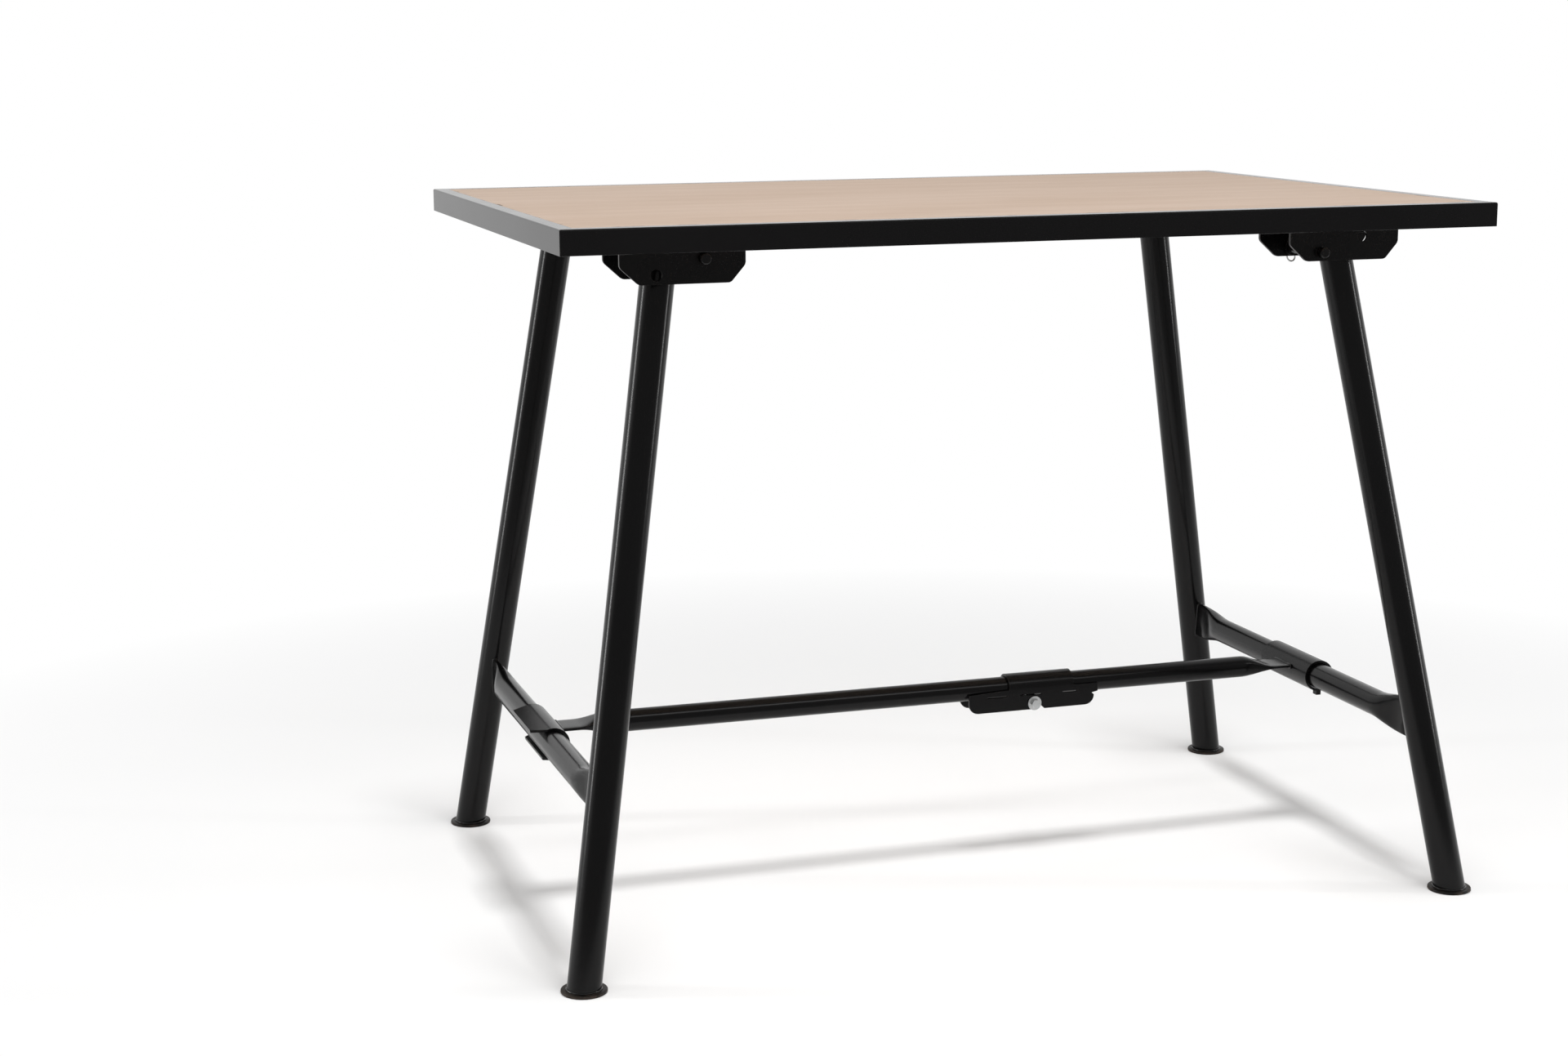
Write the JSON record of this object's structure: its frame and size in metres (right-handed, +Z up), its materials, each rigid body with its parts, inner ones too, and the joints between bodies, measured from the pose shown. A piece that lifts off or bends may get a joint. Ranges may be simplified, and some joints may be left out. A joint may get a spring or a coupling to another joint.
{
  "type": "folding workbench",
  "caption": "Folding workbench with a steel-edged plywood top, splayed tubular steel leg frames hinged in channel brackets, and a stretcher that hooks between the crossbars.",
  "frame": {"origin": "on the floor, at the middle of the outline that the feet and the top cover", "axes": "+X along the top's length, towards the end whose collar stays on its crossbar; +Y from the front long edge towards the back; +Z up"},
  "size_m": [1.113, 0.71, 0.82],
  "materials": {
    "powder_coat": "semi-gloss black powder coat",
    "edge_coat": "semi-gloss black powder coat on angle edging",
    "plywood": "bare sanded plywood, pale, fine grain",
    "zinc": "bright zinc plate"
  },
  "bodies": {
    "table_top": {"plywood_panel": "plywood", "left_edging": "edge_coat", "front_edging": "edge_coat", "right_edging": "edge_coat", "rear_edging": "edge_coat", "left_front_bracket": "powder_coat", "left_front_screw_1": "zinc", "left_front_screw_2": "zinc", "left_front_screw_3": "zinc", "left_front_screw_4": "zinc", "left_front_pivot_pin": "powder_coat", "left_front_spring_clip": "zinc", "left_rear_bracket": "powder_coat", "left_rear_screw_1": "zinc", "left_rear_screw_2": "zinc", "left_rear_screw_3": "zinc", "left_rear_screw_4": "zinc", "left_rear_pivot_pin": "powder_coat", "left_rear_spring_clip": "zinc", "right_front_bracket": "powder_coat", "right_front_screw_1": "zinc", "right_front_screw_2": "zinc", "right_front_screw_3": "zinc", "right_front_screw_4": "zinc", "right_front_pivot_pin": "powder_coat", "right_front_spring_clip": "zinc", "right_rear_bracket": "powder_coat", "right_rear_screw_1": "zinc", "right_rear_screw_2": "zinc", "right_rear_screw_3": "zinc", "right_rear_screw_4": "zinc", "right_rear_pivot_pin": "powder_coat", "right_rear_spring_clip": "zinc"},
    "left_leg_frame": {"left_front_hinge_shoe": "powder_coat", "left_front_leg": "powder_coat", "left_front_foot": "powder_coat", "left_rear_hinge_shoe": "powder_coat", "left_rear_leg": "powder_coat", "left_rear_foot": "powder_coat", "left_crossbar": "powder_coat"},
    "right_leg_frame": {"right_front_hinge_shoe": "powder_coat", "right_front_leg": "powder_coat", "right_front_foot": "powder_coat", "right_rear_hinge_shoe": "powder_coat", "right_rear_leg": "powder_coat", "right_rear_foot": "powder_coat", "right_crossbar": "powder_coat"},
    "stretcher_long": {"stretcher_long_tube": "powder_coat", "left_hook": "powder_coat", "knuckle_tongue": "powder_coat", "knuckle_bolt": "zinc", "knuckle_front_washer": "zinc", "knuckle_rear_washer": "zinc", "knuckle_nut": "zinc"},
    "stretcher_short": {"stretcher_short_tube": "powder_coat", "right_collar": "powder_coat", "knuckle_saddle": "powder_coat"}
  },
  "joints": [
    {"name": "left_leg_fold", "type": "hinge", "parent": "table_top", "child": "left_leg_frame", "pos_m": [-0.3754, 0, 0.7795], "axis": [0, -1, 0], "range_deg": [0, 98]},
    {"name": "right_leg_fold", "type": "hinge", "parent": "table_top", "child": "right_leg_frame", "pos_m": [0.3551, 0, 0.763], "axis": [0, 1, 0], "range_deg": [0, 91]},
    {"name": "long_stretcher_swing", "type": "hinge", "parent": "left_leg_frame", "child": "stretcher_long", "pos_m": [-0.5009, 0, 0.203], "axis": [0, 1, 0], "range_deg": [0, 278.1]},
    {"name": "short_stretcher_swing", "type": "hinge", "parent": "right_leg_frame", "child": "stretcher_short", "pos_m": [0.49439, 0, 0.203], "axis": [0, 1, 0], "range_deg": [0, 89.1]}
  ],
  "couplings": [
    {"joint": "long_stretcher_swing", "follows": "left_leg_fold", "ratio": 2.8367},
    {"joint": "short_stretcher_swing", "follows": "right_leg_fold", "ratio": 0.97802}
  ]
}
